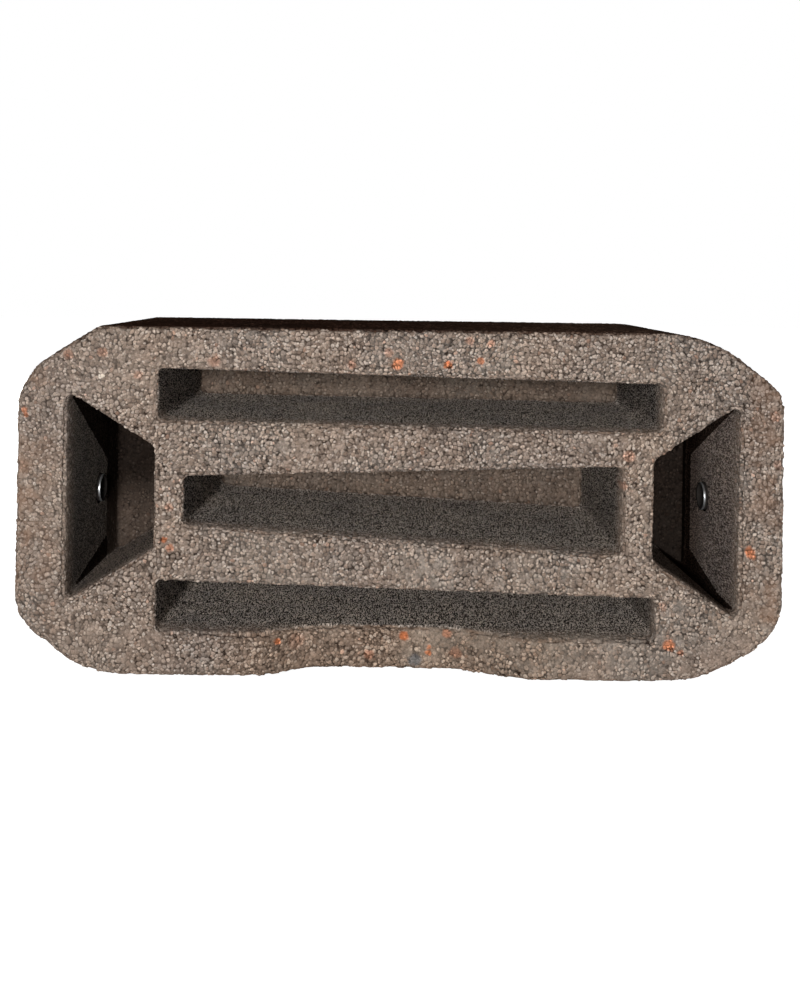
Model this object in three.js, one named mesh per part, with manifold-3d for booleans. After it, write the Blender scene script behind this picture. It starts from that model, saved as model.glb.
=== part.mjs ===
// A bat box cast in one piece from lightweight bead concrete, with a tube sleeve through each end wall.
// It stands on its long arched wall, as photographed. The open face looks along -Y and the closed back along +Y,
// X runs along the block and Z up. Built into a wall, it is turned so that the open face points down and
// the arch in the rim of the long wall is the way in. The origin is the middle of the face it stands on.
// Lengths are in millimetres.

import * as THREE from "three";
import { mergeVertices } from "three/addons/utils/BufferGeometryUtils.js";
import Module from "manifold-3d";

// Front to back
const blockDepth = 160;
const pocketDepth = 125;

// From the bottom up, at the left and right ends of the middle slot. The top wall at the right takes up the rest.
const stack = {
  bottomWall: { left: 28.5, right: 27 },
  bottomSlot: { left: 32, right: 26 },
  lowerWeb: { left: 36, right: 27.5 },
  middleSlot: { left: 30.5, right: 56 },
  upperWeb: { left: 36.5, right: 23 },
  topSlot: { left: 32, right: 30 },
  topWallLeft: 27.5,
};

// From left to right, at mid height
const endWall = { left: 32.5, right: 29 };
const rib = { left: 19.5, right: 20.5 };
const middleSlotLength = 279;

// How far the outer slots run past the ends of the middle slot
const topSlotReach = { left: 17, right: 25.5 };
const bottomSlotReach = { left: 17, right: 22 };

// The two end chambers: width along X, height at the outer and inner side, and how far each lies above mid height
const chamber = {
  left: { width: 55.5, outerHeight: 132.5, innerHeight: 64.5, rise: 2 },
  right: { width: 54, outerHeight: 136, innerHeight: 64, rise: -2.5 },
};

// Inset of every pocket's sides at its inner end, so that the cores draw out of the casting
const slotDraft = 5;
const chamberDraft = 1;
const slotCornerRadius = 1.2;
const chamberCornerRadius = 2.5;

// Outer corners: each is cut off by a slope, run along X and rise along Z. One shoulder rounds it into the long face
// and another into the end face. The top left one is the sharpest at the long face.
const cutCorner = {
  topLeft: { run: 51.5, rise: 33, longShoulder: 12, endShoulder: 40 },
  topRight: { run: 49, rise: 38.5, longShoulder: 88, endShoulder: 20 },
  bottomLeft: { run: 46.5, rise: 35.5, longShoulder: 65, endShoulder: 30 },
  bottomRight: { run: 49, rise: 33, longShoulder: 96, endShoulder: 40 },
};
const edgeEase = 1.5;

// The way in: a shallow arch in the rim of the bottom wall. The middle of its crown lies crownOffset along X.
const arch = { leftSlope: 65, crownLength: 42, rightSlope: 76, depth: 18.5, crownOffset: -9.5 };
const archFootShare = 0.3;
const archCrownShare = 0.65;

// Tube sleeves through the end walls
const sleeve = { outerDiameter: 19, wall: 1.5, proud: 2, recess: 0.5, lip: 0.4 };
const sleeveFromOpenFace = 79;
const sleeveHeight = 104;

const clearance = 0.3;
const overrun = 10;

// Counts
const arcSteps = 8;
const curveSteps = 10;
const roundSegments = 48;

// Worked-out sizes
const totalOf = (side) =>
  stack.bottomWall[side] + stack.bottomSlot[side] + stack.lowerWeb[side] +
  stack.middleSlot[side] + stack.upperWeb[side] + stack.topSlot[side];
const blockHeight = totalOf("left") + stack.topWallLeft;
const blockWidth =
  endWall.left + chamber.left.width + rib.left + middleSlotLength +
  rib.right + chamber.right.width + endWall.right;
const halfWidth = blockWidth / 2;
const openFace = -blockDepth / 2;
const pocketEnd = openFace + pocketDepth;
const middleSlotStart = -halfWidth + endWall.left + chamber.left.width + rib.left;
const middleSlotEnd = middleSlotStart + middleSlotLength;

// An end wall is thicker where its sleeve passes than at the open face, by the core's draft there.
const wallAtSleeve = (wall) => wall + (chamberDraft * sleeveFromOpenFace) / pocketDepth;

const wasm = await Module();
wasm.setup();

const materials = {
  castConcrete: new THREE.MeshStandardMaterial({ color: 0x8a7d72, roughness: 0.95, metalness: 0 }),
  sleeveSteel: new THREE.MeshStandardMaterial({ color: 0xb9bbbd, roughness: 0.35, metalness: 1 }),
};

// A solid for joins and cuts, from a closed geometry.
function solidFrom(geometry) {
  const bare = geometry.clone();
  bare.deleteAttribute("normal");
  bare.deleteAttribute("uv");
  const merged = mergeVertices(bare);
  return new wasm.Manifold(
    new wasm.Mesh({
      numProp: 3,
      vertProperties: new Float32Array(merged.attributes.position.array),
      triVerts: new Uint32Array(merged.index.array),
    }),
  );
}

// A named mesh from a solid.
function meshFrom(name, solid, material) {
  const { vertProperties, triVerts } = solid.getMesh();
  const geometry = new THREE.BufferGeometry();
  geometry.setAttribute("position", new THREE.BufferAttribute(vertProperties, 3));
  geometry.setIndex(new THREE.BufferAttribute(triVerts, 1));
  geometry.computeVertexNormals();
  return namedMesh(name, geometry, material);
}

function namedMesh(name, geometry, material) {
  const mesh = new THREE.Mesh(geometry, material);
  mesh.name = name;
  return mesh;
}

// A shape through corners {x, y, radius}, in turn anticlockwise, each rounded by an arc that touches both sides.
function filletedShape(corners) {
  const shape = new THREE.Shape();
  corners.forEach((corner, i) => {
    const here = new THREE.Vector2(corner.x, corner.y);
    const before = corners.at(i - 1);
    const after = corners[(i + 1) % corners.length];
    const toBefore = new THREE.Vector2(before.x, before.y).sub(here);
    const toAfter = new THREE.Vector2(after.x, after.y).sub(here);
    const halfAngle = Math.abs(toBefore.angleTo(toAfter)) / 2;
    const shortest = Math.min(toBefore.length(), toAfter.length()) / 2;
    const tangent = Math.min(corner.radius / Math.tan(halfAngle), shortest);
    const radius = tangent * Math.tan(halfAngle);
    const start = here.clone().addScaledVector(toBefore.normalize(), tangent);
    const end = here.clone().addScaledVector(toAfter.normalize(), tangent);
    const inward = toBefore.clone().add(toAfter).normalize();
    const centre = here.clone().addScaledVector(inward, radius / Math.sin(halfAngle));
    if (i === 0) shape.moveTo(start.x, start.y);
    else shape.lineTo(start.x, start.y);
    const from = start.clone().sub(centre).angle();
    const to = end.clone().sub(centre).angle();
    shape.absarc(centre.x, centre.y, radius, from, to, false);
  });
  shape.closePath();
  return shape;
}

// Stands a shape drawn in X and Z upright, from its back at y = back towards -Y.
function extrudedForward(shape, length, back, options = {}) {
  const settings = { depth: length, bevelEnabled: false, curveSegments: arcSteps, ...options };
  const geometry = new THREE.ExtrudeGeometry(shape, settings);
  geometry.rotateX(Math.PI / 2);
  geometry.translate(0, back, 0);
  return geometry;
}

// The solid body before its pockets: the outline with its four cut-off corners, and eased edges front and back.
function blockBody() {
  const { topLeft, topRight, bottomLeft, bottomRight } = cutCorner;
  const outline = filletedShape([
    { x: -halfWidth + bottomLeft.run, y: 0, radius: bottomLeft.longShoulder },
    { x: halfWidth - bottomRight.run, y: 0, radius: bottomRight.longShoulder },
    { x: halfWidth, y: bottomRight.rise, radius: bottomRight.endShoulder },
    { x: halfWidth, y: blockHeight - topRight.rise, radius: topRight.endShoulder },
    { x: halfWidth - topRight.run, y: blockHeight, radius: topRight.longShoulder },
    { x: -halfWidth + topLeft.run, y: blockHeight, radius: topLeft.longShoulder },
    { x: -halfWidth, y: blockHeight - topLeft.rise, radius: topLeft.endShoulder },
    { x: -halfWidth, y: bottomLeft.rise, radius: bottomLeft.endShoulder },
  ]);
  const bevel = {
    bevelEnabled: true,
    bevelThickness: edgeEase,
    bevelSize: edgeEase,
    bevelOffset: -edgeEase,
    bevelSegments: 2,
  };
  return solidFrom(extrudedForward(outline, blockDepth - 2 * edgeEase, -openFace - edgeEase, bevel));
}

// The core of one pocket: its outline at the open face, drawn in by draft on each side at the inner end.
function pocketCore(corners, draft, radius) {
  const outline = filletedShape(corners.map((corner) => ({ ...corner, radius })));
  const geometry = extrudedForward(outline, pocketDepth + overrun, pocketEnd);
  geometry.computeBoundingBox();
  const centre = geometry.boundingBox.getCenter(new THREE.Vector3());
  const half = geometry.boundingBox.getSize(new THREE.Vector3()).multiplyScalar(0.5);
  const position = geometry.attributes.position;
  for (let i = 0; i < position.count; i++) {
    const inset = (draft * (position.getY(i) - openFace)) / pocketDepth;
    position.setX(i, centre.x + (position.getX(i) - centre.x) * (1 - inset / half.x));
    position.setZ(i, centre.z + (position.getZ(i) - centre.z) * (1 - inset / half.z));
  }
  return solidFrom(geometry);
}

// The corners of a slot that runs from start to end, between a bottom and a top height at each of its ends.
function slotCorners(start, end, bottom, top) {
  return [
    { x: start, y: bottom.left },
    { x: end, y: bottom.right },
    { x: end, y: top.right },
    { x: start, y: top.left },
  ];
}

// Heights of the slots' lower and upper sides, added up from the bottom at each end.
function slotHeights(side) {
  const bottomSlot = stack.bottomWall[side];
  const lowerWeb = bottomSlot + stack.bottomSlot[side];
  const middleSlot = lowerWeb + stack.lowerWeb[side];
  const upperWeb = middleSlot + stack.middleSlot[side];
  const topSlot = upperWeb + stack.upperWeb[side];
  const topWall = topSlot + stack.topSlot[side];
  return { bottomSlot, lowerWeb, middleSlot, upperWeb, topSlot, topWall };
}

function slotCores() {
  const left = slotHeights("left");
  const right = slotHeights("right");
  const between = (lower, upper) => [
    { left: left[lower], right: right[lower] },
    { left: left[upper], right: right[upper] },
  ];
  const slots = [
    [middleSlotStart - bottomSlotReach.left, middleSlotEnd + bottomSlotReach.right, "bottomSlot", "lowerWeb"],
    [middleSlotStart, middleSlotEnd, "middleSlot", "upperWeb"],
    [middleSlotStart - topSlotReach.left, middleSlotEnd + topSlotReach.right, "topSlot", "topWall"],
  ];
  return slots.map(([start, end, lower, upper]) =>
    pocketCore(slotCorners(start, end, ...between(lower, upper)), slotDraft, slotCornerRadius),
  );
}

// The trapezoid core of one end chamber, narrower towards the slots. side is -1 at the left and 1 at the right.
function chamberCore(side, wall, { width, outerHeight, innerHeight, rise }) {
  const outer = side * (halfWidth - wall);
  const inner = outer - side * width;
  const middle = blockHeight / 2 + rise;
  const corners = [
    { x: inner, y: middle - innerHeight / 2 },
    { x: outer, y: middle - outerHeight / 2 },
    { x: outer, y: middle + outerHeight / 2 },
    { x: inner, y: middle + innerHeight / 2 },
  ];
  return pocketCore(side > 0 ? corners : corners.reverse(), chamberDraft, chamberCornerRadius);
}

// Cuts the arch out of the rim of the bottom wall: straight at the crown, with an S-curve down to each side.
// The shares say how far along its slope each curve runs level at the foot and at the crown.
function archCutter() {
  const { leftSlope, crownLength, rightSlope, depth, crownOffset } = arch;
  const crownStart = crownOffset - crownLength / 2;
  const crownEnd = crownOffset + crownLength / 2;
  const start = crownStart - leftSlope;
  const end = crownEnd + rightSlope;
  const crown = openFace + depth;
  const shape = new THREE.Shape();
  shape.moveTo(start, openFace - overrun);
  shape.lineTo(end, openFace - overrun);
  shape.lineTo(end, openFace);
  shape.bezierCurveTo(
    end - archFootShare * rightSlope, openFace,
    crownEnd + archCrownShare * rightSlope, crown,
    crownEnd, crown,
  );
  shape.lineTo(crownStart, crown);
  shape.bezierCurveTo(
    crownStart - archCrownShare * leftSlope, crown,
    start + archFootShare * leftSlope, openFace,
    start, openFace,
  );
  const height = stack.bottomWall.left + stack.bottomSlot.left / 2;
  const settings = { depth: height + overrun, bevelEnabled: false, curveSegments: curveSteps };
  const geometry = new THREE.ExtrudeGeometry(shape, settings);
  geometry.translate(0, 0, -overrun);
  return solidFrom(geometry);
}

// The round hole for a sleeve, through one end wall only.
function sleeveHole(side, wall) {
  const radius = sleeve.outerDiameter / 2 + clearance;
  const geometry = new THREE.CylinderGeometry(radius, radius, wall + 2 * overrun, roundSegments);
  geometry.rotateZ(Math.PI / 2);
  geometry.translate(side * (halfWidth - wall / 2), openFace + sleeveFromOpenFace, sleeveHeight);
  return solidFrom(geometry);
}

function castBlock() {
  const cutters = [
    ...slotCores(),
    chamberCore(-1, endWall.left, chamber.left),
    chamberCore(1, endWall.right, chamber.right),
    archCutter(),
    sleeveHole(-1, endWall.left),
    sleeveHole(1, endWall.right),
  ];
  const solid = cutters.reduce((rest, cutter) => rest.subtract(cutter), blockBody());
  return meshFrom("cast_block", solid, materials.castConcrete);
}

// A tube with a thin lip on each end, turned about its own axis. It lies just inside the outer face and
// stands a little proud of the chamber wall.
function tubeSleeve(name, side, wall) {
  const length = wallAtSleeve(wall) - sleeve.recess + sleeve.proud;
  const outer = sleeve.outerDiameter / 2;
  const inner = outer - sleeve.wall;
  const profile = [
    [inner, 0],
    [outer - sleeve.lip, 0],
    [outer, sleeve.lip],
    [outer, length - sleeve.lip],
    [outer - sleeve.lip, length],
    [inner, length],
    [inner, 0],
  ].map(([radius, along]) => new THREE.Vector2(radius, along));
  const mesh = namedMesh(name, new THREE.LatheGeometry(profile, roundSegments), materials.sleeveSteel);
  mesh.rotation.z = (side * Math.PI) / 2;
  mesh.position.set(side * (halfWidth - sleeve.recess), openFace + sleeveFromOpenFace, sleeveHeight);
  return mesh;
}

const batBox = new THREE.Group();
batBox.add(castBlock());
batBox.add(tubeSleeve("left_tube_sleeve", -1, endWall.left));
batBox.add(tubeSleeve("right_tube_sleeve", 1, endWall.right));

export default batBox;
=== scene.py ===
"""A bat box cast in one piece from bead concrete, with a zinc-coated tube sleeve through each end wall.

The block stands on its long arched wall with the open face towards -Y. Every length is in metres, in the
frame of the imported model. The skin of the casting is rebuilt from the model's own solid as a fine mesh, and
its beads, gaps, smears and chipped edges are real relief. The same bead field drives the relief and the
colours.
"""

import logging
import math
from collections.abc import Sequence
from dataclasses import dataclass, field
from enum import Enum
from functools import partial, reduce

import bmesh
import bpy
import numpy as np
from mathutils import Matrix, Vector


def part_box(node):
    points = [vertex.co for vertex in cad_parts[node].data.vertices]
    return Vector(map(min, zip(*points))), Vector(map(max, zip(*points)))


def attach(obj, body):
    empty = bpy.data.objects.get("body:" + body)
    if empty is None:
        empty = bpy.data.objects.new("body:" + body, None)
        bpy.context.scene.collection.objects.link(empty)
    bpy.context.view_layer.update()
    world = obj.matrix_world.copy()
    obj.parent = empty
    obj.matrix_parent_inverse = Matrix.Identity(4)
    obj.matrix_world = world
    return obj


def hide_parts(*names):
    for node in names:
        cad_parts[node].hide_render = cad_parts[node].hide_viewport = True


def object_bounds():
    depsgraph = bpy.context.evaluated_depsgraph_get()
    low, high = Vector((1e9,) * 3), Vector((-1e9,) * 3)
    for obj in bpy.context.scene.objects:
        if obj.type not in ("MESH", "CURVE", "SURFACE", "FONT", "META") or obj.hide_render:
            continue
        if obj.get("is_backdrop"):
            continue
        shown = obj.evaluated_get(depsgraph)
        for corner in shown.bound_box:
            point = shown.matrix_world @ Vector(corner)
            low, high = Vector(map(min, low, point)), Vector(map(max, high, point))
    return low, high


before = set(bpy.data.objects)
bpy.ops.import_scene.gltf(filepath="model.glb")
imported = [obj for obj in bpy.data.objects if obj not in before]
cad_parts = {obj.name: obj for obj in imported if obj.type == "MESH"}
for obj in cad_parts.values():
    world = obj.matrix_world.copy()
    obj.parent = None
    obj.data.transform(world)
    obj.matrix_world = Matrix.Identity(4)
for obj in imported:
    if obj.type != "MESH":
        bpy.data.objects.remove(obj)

MM = 0.001
ROOT_BODY = "root"
ATLAS_NAME = "OFBake"

REST = "rest_place"
WORN = "worn_edge"
MOUTH = "pocket_mouth"
SILL = "pocket_sill"
CORNER_SHADOW = "painted_corner_shadow"

Node = bpy.types.Node
Socket = bpy.types.NodeSocket
Value = Socket | float | tuple

log = logging.getLogger("bat_box")


class TreeKind(Enum):
    """The kinds of node tree that a shared group can be built for."""

    SHADER = "ShaderNodeTree"
    GEOMETRY = "GeometryNodeTree"


class Side(Enum):
    """The two ends of the block, by the sign of X."""

    LEFT = -1
    RIGHT = 1


class Zone(Enum):
    """The kinds of surface on the casting, by the names of their point attributes."""

    POCKET_WALL = "pocket_wall"
    PALE_WALL = "pale_wall"
    CHAMBER_SIDE = "chamber_side"
    SLOT_END = "slot_end"
    CHAMBER_END = "chamber_end"
    MOULD_SIDE = "mould_side"
    UPPER_SIDE = "upper_side"


class Facing(Enum):
    """The main direction of a face, for its island in the surface atlas."""

    FRONT = 0
    BACK = 1
    LEFT = 2
    RIGHT = 3
    DOWN = 4
    UP = 5


class Graph:
    """A short way to write node trees, with helpers that are the same in shader and geometry trees.

    Places and sizes are in metres. The size of cells is their mean spacing.
    """

    def __init__(self, tree: bpy.types.NodeTree) -> None:
        """Starts a graph that fills the tree."""
        self.tree = tree

    def node(self, kind: str, settings: dict | None = None, **inputs: Value) -> Node:
        """Adds a node.

        Args:
            kind: The node's type name.
            settings: Properties to set on the node before its inputs.
            **inputs: Values or output sockets, by input name with spaces as underscores.

        Returns:
            The new node.
        """
        node = self.tree.nodes.new(kind)
        for name, value in (settings or {}).items():
            setattr(node, name, value)
        for name, value in inputs.items():
            self.feed(self.socket(node.inputs, name.replace("_", " ")), value)
        return node

    @staticmethod
    def socket(sockets: Sequence, name: str) -> Socket:
        """Finds the first enabled input or output of that name, in any case."""
        return next(s for s in sockets if s.enabled and s.name.lower() == name.lower())

    def feed(self, socket: Socket, value: Value) -> None:
        """Links an output to the socket, or sets the socket's own value.

        Args:
            socket: The input socket.
            value: An output socket, a number, or a tuple.
        """
        if isinstance(value, Socket):
            self.tree.links.new(value, socket)
        else:
            socket.default_value = value

    def math(self, operation: str, first: Value, second: Value = 0.0) -> Socket:
        """Adds a Math node.

        Args:
            operation: The node's operation.
            first: The first number.
            second: The second number, where the operation has one.

        Returns:
            The result.
        """
        node = self.node("ShaderNodeMath", {"operation": operation})
        self.feed(node.inputs[0], first)
        self.feed(node.inputs[1], second)
        return node.outputs[0]

    def times(self, *numbers: Value) -> Socket:
        """Multiplies numbers, in their order."""
        return reduce(partial(self.math, "MULTIPLY"), numbers)

    def plus(self, *numbers: Value) -> Socket:
        """Adds numbers up, in their order."""
        return reduce(partial(self.math, "ADD"), numbers)

    def minus(self, first: Value, second: Value) -> Socket:
        """Takes the second number from the first."""
        return self.math("SUBTRACT", first, second)

    def vector(self, operation: str, first: Value, second: Value | None = None,
               scale: Value | None = None) -> Socket:
        """Adds a Vector Math node.

        Args:
            operation: The node's operation.
            first: The first vector.
            second: The second vector, where the operation has one.
            scale: The factor, for SCALE.

        Returns:
            The result: the number for LENGTH, DISTANCE and DOT_PRODUCT, otherwise the vector.
        """
        node = self.node("ShaderNodeVectorMath", {"operation": operation})
        self.feed(node.inputs[0], first)
        if second is not None:
            self.feed(node.inputs[1], second)
        if scale is not None:
            self.feed(self.socket(node.inputs, "Scale"), scale)
        number = operation in ("LENGTH", "DISTANCE", "DOT_PRODUCT")
        return self.socket(node.outputs, "Value" if number else "Vector")

    def ease(self, value: Value, low: Value, high: Value, to_low: Value = 0.0,
             to_high: Value = 1.0) -> Socket:
        """Maps a value smoothly from one range to another.

        Args:
            value: The number to map.
            low: The value that gives to_low.
            high: The value that gives to_high.
            to_low: The result at and below low.
            to_high: The result at and above high.

        Returns:
            The mapped value.
        """
        node = self.node("ShaderNodeMapRange", {"interpolation_type": "SMOOTHSTEP"})
        for name, number in (("Value", value), ("From Min", low), ("From Max", high),
                             ("To Min", to_low), ("To Max", to_high)):
            self.feed(self.socket(node.inputs, name), number)
        return self.socket(node.outputs, "Result")

    def mix(self, share: Value, first: Value, second: Value, data_type: str = "FLOAT") -> Socket:
        """Blends two values of one type.

        Args:
            share: How much of the second there is.
            first: The first value.
            second: The second value.
            data_type: FLOAT, VECTOR or RGBA.

        Returns:
            The blend.
        """
        node = self.node("ShaderNodeMix", {"data_type": data_type})
        for name, value in (("Factor", share), ("A", first), ("B", second)):
            self.feed(self.socket(node.inputs, name), value)
        return self.socket(node.outputs, "Result")

    def blend(self, share: Value, first: Value, second: Value) -> Socket:
        """Blends two colours. The share says how much of the second there is."""
        return self.mix(share, opaque(first), opaque(second), "RGBA")

    def tint(self, colour: Value, factor: Value, share: Value | None = None) -> Socket:
        """Multiplies a colour by another, which may be above 1, fully or as far as the share says."""
        strong = self.vector("MULTIPLY", colour, factor)
        return strong if share is None else self.blend(share, colour, strong)

    def part(self, vector: Value, axis: str) -> Socket:
        """Takes the X, Y or Z of a vector."""
        return self.node("ShaderNodeSeparateXYZ", Vector=vector).outputs[axis]

    def stored(self, name: str, output: str = "Fac") -> Socket:
        """Reads a point attribute in a material, as a number or, with the output Vector, as a vector."""
        return self.node("ShaderNodeAttribute", {"attribute_name": name}).outputs[output]

    def cells(self, place: Value, size: float, randomness: float = 1.0, feature: str = "F1") -> Node:
        """Adds cells round scattered points, with the distance to the nearest, F1, or the second, F2."""
        return self.node("ShaderNodeTexVoronoi", {"voronoi_dimensions": "3D", "feature": feature},
                         Vector=place, Scale=1.0 / size, Randomness=randomness)

    def ramp(self, value: Value, stops: tuple) -> Socket:
        """Adds a colour ramp.

        Args:
            value: The number that picks the colour.
            stops: Pairs of a position from 0 to 1 and a colour.

        Returns:
            The colour.
        """
        node = self.node("ShaderNodeValToRGB", Fac=value)
        elements = node.color_ramp.elements
        while len(elements) < len(stops):
            elements.new(1.0)
        for element, (position, colour) in zip(elements, stops, strict=True):
            element.position = position
            element.color = opaque(colour)
        return node.outputs["Color"]


def opaque(colour: Value) -> Value:
    """Gives a colour of three numbers its alpha of 1, and passes anything else on."""
    return (*colour, 1.0) if isinstance(colour, tuple) and len(colour) == 3 else colour


def new_group(name: str, kind: TreeKind, inputs: dict, outputs: dict) -> tuple[Graph, Node, Node]:
    """Makes a node group with named sockets.

    Args:
        name: The group's name.
        kind: The kind of tree.
        inputs: Socket types by name.
        outputs: Socket types by name.

    Returns:
        The graph, the group's input node and its output node.
    """
    tree = bpy.data.node_groups.new(name, kind.value)
    for in_out, sockets in (("INPUT", inputs), ("OUTPUT", outputs)):
        for socket, socket_type in sockets.items():
            tree.interface.new_socket(socket, in_out=in_out, socket_type=socket_type)
    graph = Graph(tree)
    return graph, graph.node("NodeGroupInput"), graph.node("NodeGroupOutput")


def use_group(graph: Graph, group: bpy.types.NodeTree, kind: TreeKind, **inputs: Value) -> Node:
    """Places a node group in a tree.

    Args:
        graph: The graph that takes the group.
        group: The node group.
        kind: The kind of the graph's tree.
        **inputs: Values or sockets, by input name with spaces as underscores.

    Returns:
        The group node.
    """
    node = graph.tree.nodes.new(kind.value.replace("Tree", "Group"))
    node.node_tree = group
    for name, value in inputs.items():
        graph.feed(node.inputs[name.replace("_", " ")], value)
    return node


@dataclass(frozen=True)
class Noise:
    """Smooth noise round 0.5.

    The size is the width of its features, the detail is how many finer layers it has, and the roughness is
    how strong they are.
    """

    size: float
    detail: float
    roughness: float = 0.5

    def node(self, graph: Graph, place: Socket) -> Node:
        """Adds the noise to a graph."""
        return graph.node("ShaderNodeTexNoise", Vector=place, Scale=1.0 / self.size, Detail=self.detail,
                          Roughness=self.roughness)

    def at(self, graph: Graph, place: Socket) -> Socket:
        """Reads the noise at a place."""
        return self.node(graph, place).outputs[0]

    def shifted(self, graph: Graph, place: Socket, start: Socket, reach: tuple) -> Socket:
        """Shifts a point smoothly and at random.

        Args:
            graph: The graph.
            place: The coordinates that the noise is read at.
            start: The point.
            reach: The span of the shift along each axis.

        Returns:
            The shifted point.
        """
        centred = graph.vector("SUBTRACT", self.node(graph, place).outputs["Color"], (0.5, 0.5, 0.5))
        return graph.vector("ADD", start, graph.vector("MULTIPLY", centred, reach))


@dataclass(frozen=True)
class Patches(Noise):
    """Soft random patches: noise eased from one share at its first level to another at its second."""

    levels: tuple = (0.0, 1.0)
    shares: tuple = (0.0, 1.0)

    def share(self, graph: Graph, place: Socket, lift: Socket | None = None) -> Socket:
        """Finds how far the patches cover a place.

        Args:
            graph: The graph.
            place: The coordinates.
            lift: What is added to the noise, or None.

        Returns:
            The share.
        """
        noise = self.at(graph, place)
        if lift is not None:
            noise = graph.plus(noise, lift)
        return graph.ease(noise, *self.levels, *self.shares)


@dataclass(frozen=True)
class Mottle(Noise):
    """A random change of tone: noise that picks a colour factor between two stops."""

    stops: tuple = ()

    def over(self, graph: Graph, place: Socket, colour: Value) -> Socket:
        """Varies a colour from place to place."""
        return graph.tint(colour, graph.ramp(self.at(graph, place), self.stops))


@dataclass(frozen=True)
class BeadField:
    """Round clay beads packed in space, each in its own cell, as a field.

    The open face passes through the middle of one layer of beads, and so do the slot ends and the back. A
    bead shows as a dome, smaller and lower where its centre lies off the surface. A crease runs where two
    beads meet, and smaller beads sit lower down between the large ones. Three noises, each with its reach,
    make the beads ragged, bend their rows and vary their size.
    """

    spacing: float = 2.91 * MM
    randomness: float = 0.86
    radius_share: float = 0.62
    crease_share: float = 0.24
    small_spacing: float = 1.85 * MM
    small_radius_share: float = 0.64
    small_level: float = 0.74
    touch_level: float = 0.5
    ragged: tuple = (Noise(1.6 * MM, 1.0), 0.38 * MM)
    warp: tuple = (Noise(5.0 * MM, 1.0), 1.2 * MM)
    spread: tuple = (Noise(30 * MM, 0.0), 6.6 * MM)
    lit_from: tuple = (-0.62, 0.0, 0.78)

    def group(self, kind: TreeKind) -> bpy.types.NodeTree:
        """Builds the field's node group.

        Args:
            kind: The kind of tree it is for.

        Returns:
            The group: Height from 0 in a gap to 1 on a crest, Crease from 0 where two beads meet to 1 inside
            one, a painted light and shade on each bead from -1 on its lower right to 1 on its upper left, and
            two random numbers for each bead, Tint and Odd.
        """
        graph, given, result = new_group(
            "Bead field", kind, {"Place": "NodeSocketVector"},
            {name: "NodeSocketFloat" for name in ("Height", "Crease", "PaintedLight", "Tint", "Odd")})
        place = given.outputs["Place"]
        bent = graph.vector("ADD", place, self.layer_offset())
        for noise, reach in (self.ragged, self.warp, self.spread):
            bent = noise.shifted(graph, place, bent, (reach, 0.0, reach))
        nearest = graph.cells(bent, self.spacing, self.randomness)
        second = graph.cells(bent, self.spacing, self.randomness, "F2")
        crease = graph.ease(graph.minus(second.outputs["Distance"], nearest.outputs["Distance"]), 0.0,
                            self.crease_share)
        large = graph.times(self.dome(graph, nearest, self.radius_share),
                            graph.mix(crease, self.touch_level, 1.0))
        small = graph.cells(bent, self.small_spacing, self.randomness)
        low = graph.times(self.dome(graph, small, self.small_radius_share), self.small_level)
        between = graph.math("GREATER_THAN", low, large)
        graph.feed(result.inputs["Height"], graph.math("MAXIMUM", large, low))
        graph.feed(result.inputs["Crease"], graph.mix(between, crease, 1.0))
        # Painted light: each bead is lighter on the side towards lit_from and darker away from it, as a lit
        # ball would be.
        bead_lights = []
        for cells, radius in ((nearest, self.radius_share * self.spacing),
                              (small, self.small_radius_share * self.small_spacing)):
            outward = graph.vector("SUBTRACT", bent, cells.outputs["Position"])
            bead_lights.append(graph.math("DIVIDE", graph.vector("DOT_PRODUCT", outward, self.lit_from), radius))
        graph.feed(result.inputs["PaintedLight"], graph.mix(between, *bead_lights))
        random = graph.mix(between, nearest.outputs["Color"], small.outputs["Color"], "VECTOR")
        graph.feed(result.inputs["Tint"], graph.part(random, "Y"))
        graph.feed(result.inputs["Odd"], graph.part(random, "Z"))
        return graph.tree

    @staticmethod
    def dome(graph: Graph, cells: Node, radius_share: float) -> Socket:
        """Raises a ball on each cell.

        Args:
            graph: The group's graph.
            cells: The cells.
            radius_share: The balls' radius as a share of the cells' spacing.

        Returns:
            The height, from 0 at and past the ball's rim to 1 at its centre.
        """
        reach = graph.math("DIVIDE", cells.outputs["Distance"], radius_share)
        cap = graph.minus(1.0, graph.times(reach, reach))
        return graph.math("SQRT", graph.math("MAXIMUM", cap, 0.0))

    def layer_offset(self) -> tuple:
        """Works out the shift that puts the middle of a layer of beads on the open face."""
        open_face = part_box("cast_block")[0].y
        return (0.0, self.spacing * self.randomness / 2 - open_face, 0.0)


@dataclass(frozen=True)
class CementSmear:
    """Fine cement between and over the beads: a slow drift from open to flush, and small filled patches."""

    patches: Noise = Noise(6.5 * MM, 4.0, 0.62)
    drift: Noise = Noise(80 * MM, 1.0)
    starts: float = 0.50
    full: float = 0.72
    drift_gain: float = 0.44
    rim_gain: float = 0.07
    rim_levels: tuple = (22 * MM, 50 * MM)
    side_gain: float = 0.12
    end_gain: float = 0.10

    def group(self, kind: TreeKind) -> bpy.types.NodeTree:
        """Builds the smear's node group.

        Args:
            kind: The kind of tree it is for.

        Returns:
            The group: Smear from 0, open beads, to 1, filled. It grows on the sides that lay against the
            mould, on the pocket ends and on the low rim with the arch.
        """
        number = "NodeSocketFloat"
        graph, given, result = new_group(
            "Cement smear", kind, {"Place": "NodeSocketVector", "Side": number, "End": number},
            {"Smear": number})
        place = given.outputs["Place"]
        drift = graph.times(graph.minus(self.drift.at(graph, place), 0.5), self.drift_gain)
        side = graph.times(given.outputs["Side"], self.side_gain)
        end = graph.times(given.outputs["End"], self.end_gain)
        rim = graph.ease(graph.part(place, "Z"), *self.rim_levels, self.rim_gain, 0.0)
        more = graph.plus(self.patches.at(graph, place), graph.plus(side, end), drift, rim)
        graph.feed(result.inputs["Smear"], graph.ease(more, self.starts, self.full))
        return graph.tree


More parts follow.
